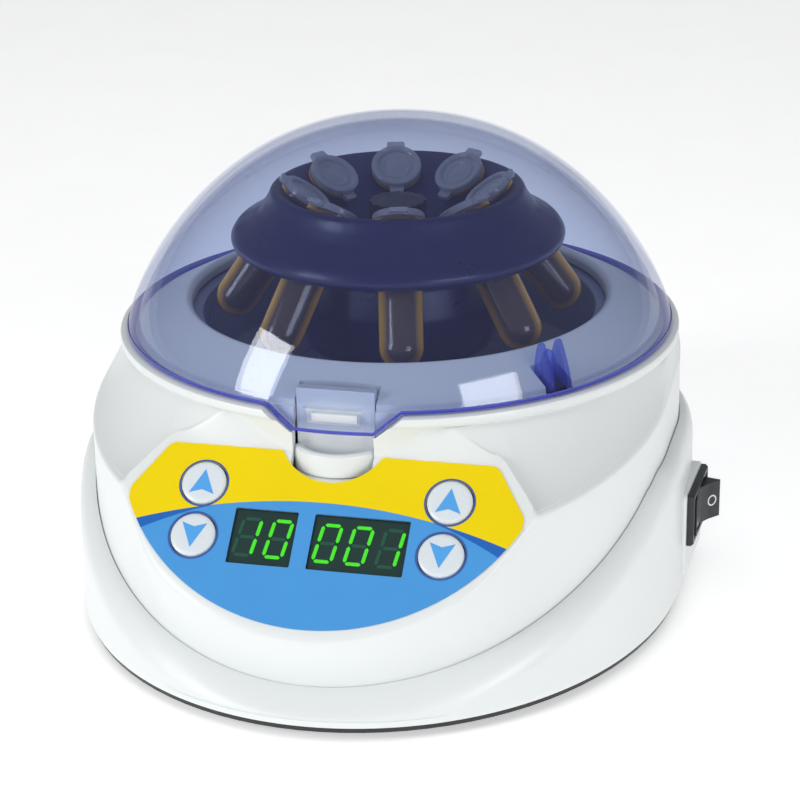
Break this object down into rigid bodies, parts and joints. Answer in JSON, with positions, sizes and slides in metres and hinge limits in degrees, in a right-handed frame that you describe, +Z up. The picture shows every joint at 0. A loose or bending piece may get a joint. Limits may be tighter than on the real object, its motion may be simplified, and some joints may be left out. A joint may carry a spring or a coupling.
{
  "type": "laboratory mini centrifuge",
  "caption": "Compact benchtop centrifuge: oval housing with sloping control panel, angle rotor holding capped microtubes, and a hinged clear domed lid with a front latch.",
  "frame": {"origin": "middle of the footprint box at table level", "axes": "+Z up, -Y towards the operator (control panel side), +X to the operator's right (power switch side)"},
  "size_m": [0.1599, 0.1834, 0.1164],
  "materials": {
    "housing_plastic": "fine satin moulded ABS",
    "black_plastic": "satin black moulding",
    "foot_rubber": "matt black rubber",
    "zinc_steel": "bright zinc-plated steel",
    "bowl_plastic": "satin grey-blue moulding",
    "label_film": "printed polyester film",
    "display_lens": "dark green seven-segment face",
    "circuit_board": "green solder resist",
    "key_plastic": "white key cap",
    "dome_clear": "clear violet-tinted polycarbonate",
    "rotor_plastic": "polished navy moulding",
    "turned_aluminium": "turned aluminium",
    "motor_paint": "dark painted steel can",
    "copper_winding": "enamelled copper wire",
    "core_iron": "laminated iron",
    "transformer_tape": "yellow insulating tape",
    "brass_pin": "nickel brass pin",
    "tube_plastic": "amber polypropylene",
    "cap_plastic": "translucent natural polypropylene"
  },
  "bodies": {
    "cabinet": {"base_plate": "black_plastic", "foot_ring": "foot_rubber", "base_screws": "zinc_steel", "lower_housing": "housing_plastic", "upper_housing": "housing_plastic", "chamber_bowl": "bowl_plastic", "shaft_boot": "foot_rubber", "control_label": "label_film", "speed_display": "display_lens", "time_display": "display_lens", "control_board": "circuit_board", "board_screws": "zinc_steel", "key_switches": "black_plastic", "latch_pin": "zinc_steel", "latch_spring": "zinc_steel", "hinge_pin": "zinc_steel", "interlock_switch": "black_plastic", "motor_can": "motor_paint", "motor_stator": "copper_winding", "motor_bearings": "zinc_steel", "motor_plate": "zinc_steel", "motor_dampers": "foot_rubber", "motor_screws": "zinc_steel", "power_board": "circuit_board", "mains_transformer": "transformer_tape", "power_capacitors": "black_plastic", "mains_inlet": "black_plastic", "inlet_pins": "brass_pin", "inlet_screws": "zinc_steel", "switch_plate": "housing_plastic", "switch_frame": "black_plastic"},
    "lid": {"lid_dome": "dome_clear"},
    "rotor": {"rotor_head": "rotor_plastic", "rotor_nut": "black_plastic", "drive_cone": "turned_aluminium", "motor_core": "core_iron", "motor_shaft": "zinc_steel", "tube_1": "tube_plastic", "tube_2": "tube_plastic", "tube_3": "tube_plastic", "tube_4": "tube_plastic", "tube_5": "tube_plastic", "tube_6": "tube_plastic", "tube_7": "tube_plastic", "tube_8": "tube_plastic", "tube_cap_1": "cap_plastic", "tube_cap_2": "cap_plastic", "tube_cap_3": "cap_plastic", "tube_cap_4": "cap_plastic", "tube_cap_5": "cap_plastic", "tube_cap_6": "cap_plastic", "tube_cap_7": "cap_plastic", "tube_cap_8": "cap_plastic"},
    "latch": {"latch_lever": "housing_plastic"},
    "speed_up_button": {"key_speed_up": "key_plastic"},
    "speed_down_button": {"key_speed_down": "key_plastic"},
    "time_up_button": {"key_time_up": "key_plastic"},
    "time_down_button": {"key_time_down": "key_plastic"},
    "rocker": {"power_rocker": "black_plastic"}
  },
  "joints": [
    {"name": "lid_hinge", "type": "hinge", "parent": "cabinet", "child": "lid", "pos_m": [-0.0038, 0.0886, 0.0683], "axis": [-1, 0, 0], "range_deg": [0, 80]},
    {"name": "rotor_spin", "type": "hinge", "parent": "cabinet", "child": "rotor", "pos_m": [-0.0038, 0.0151, 0.05], "axis": [0, 0, 1], "continuous": true},
    {"name": "latch_pivot", "type": "hinge", "parent": "cabinet", "child": "latch", "pos_m": [-0.0038, -0.0479, 0.051], "axis": [-1, 0, 0], "range_deg": [0, 5], "stiffness_Nm_per_rad": 0.6, "springref_deg": -5.73, "deforming": ["latch_spring"]},
    {"name": "speed_up_press", "type": "slide", "parent": "cabinet", "child": "speed_up_button", "axis": [0, 0.6652, -0.7466], "range_m": [0, 0.0006], "stiffness_N_per_m": 1500, "springref_m": -0.0003},
    {"name": "speed_down_press", "type": "slide", "parent": "cabinet", "child": "speed_down_button", "axis": [0, 0.6652, -0.7466], "range_m": [0, 0.0006], "stiffness_N_per_m": 1500, "springref_m": -0.0003},
    {"name": "time_up_press", "type": "slide", "parent": "cabinet", "child": "time_up_button", "axis": [0, 0.6652, -0.7466], "range_m": [0, 0.0006], "stiffness_N_per_m": 1500, "springref_m": -0.0003},
    {"name": "time_down_press", "type": "slide", "parent": "cabinet", "child": "time_down_button", "axis": [0, 0.6652, -0.7466], "range_m": [0, 0.0006], "stiffness_N_per_m": 1500, "springref_m": -0.0003},
    {"name": "power_tilt", "type": "hinge", "parent": "cabinet", "child": "rocker", "pos_m": [0.07309, 0.01107, 0.0202], "axis": [0, 0, 1], "range_deg": [0, 28]}
  ]
}
